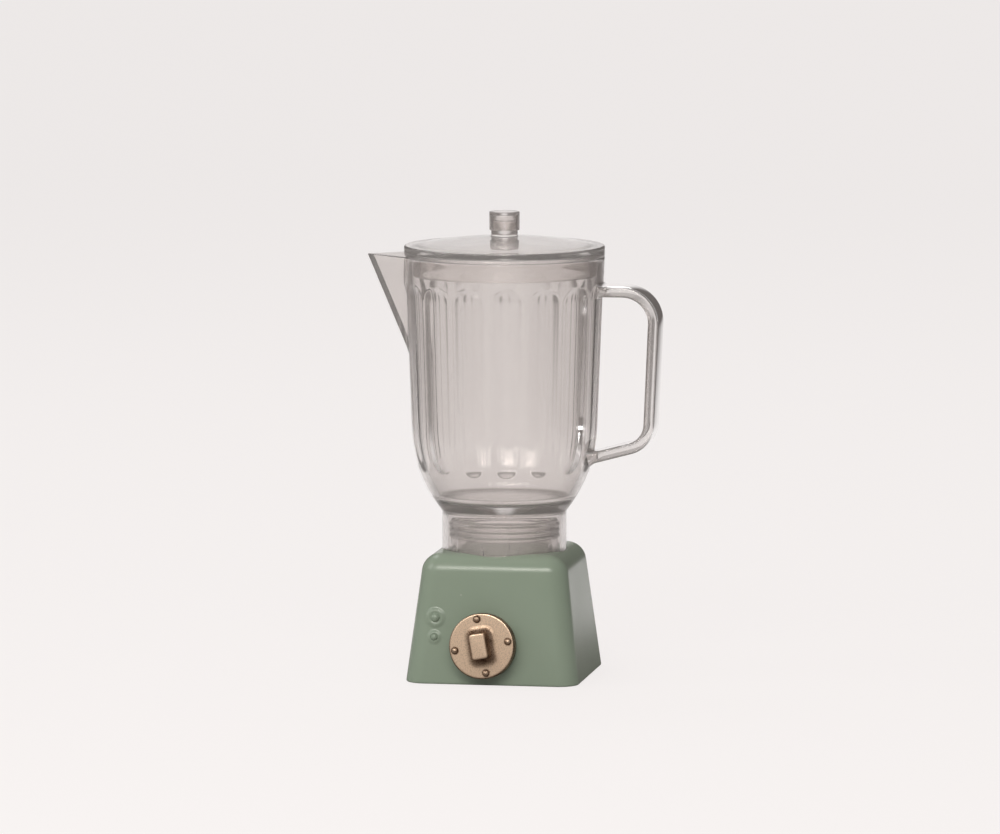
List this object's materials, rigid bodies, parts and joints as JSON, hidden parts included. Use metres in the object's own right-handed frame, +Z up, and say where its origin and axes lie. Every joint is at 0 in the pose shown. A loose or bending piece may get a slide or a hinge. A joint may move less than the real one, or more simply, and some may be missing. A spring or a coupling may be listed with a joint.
{
  "type": "toy blender",
  "caption": "Miniature play blender: painted square base with a turning dial, clear fluted jug with spout and handle that lifts off, clear lid with a knob.",
  "frame": {"origin": "centre of the underside of the base, on the surface that the toy stands on", "axes": "+Z up; the front with the dial faces -Y; the spout points to -X and the handle to +X"},
  "size_m": [0.0472, 0.0351, 0.074],
  "materials": {
    "mint_paint": "satin",
    "rose_gold": "satin",
    "clear_plastic": "gloss",
    "black_plastic": "matte",
    "zinc_steel": "satin",
    "fibre": "matte"
  },
  "bodies": {
    "base": {"base_housing": "mint_paint", "base_plate": "black_plastic", "base_plate_screws": "zinc_steel", "jug_spigot": "clear_plastic", "spigot_screws": "zinc_steel", "upper_stud": "mint_paint", "lower_stud": "mint_paint", "friction_washer": "fibre", "cone_washer": "zinc_steel"},
    "dial": {"dial_disc": "rose_gold", "dial_rivets": "rose_gold", "dial_toggle": "rose_gold", "dial_spindle": "zinc_steel", "dial_clip": "zinc_steel"},
    "jug": {"jug_body": "clear_plastic", "jug_handle": "clear_plastic"},
    "lid": {"lid_cover": "clear_plastic", "lid_knob": "clear_plastic"}
  },
  "joints": [
    {"name": "dial_turn", "type": "hinge", "parent": "base", "child": "dial", "pos_m": [-0.0009, -0.01314, 0.0062], "axis": [0, -0.9925, 0.1219], "continuous": true},
    {"name": "jug_lift", "type": "slide", "parent": "base", "child": "jug", "axis": [0, 0, 1], "range_m": [0, 0.03]},
    {"name": "lid_lift", "type": "slide", "parent": "jug", "child": "lid", "axis": [0, 0, 1], "range_m": [0, 0.025]}
  ]
}
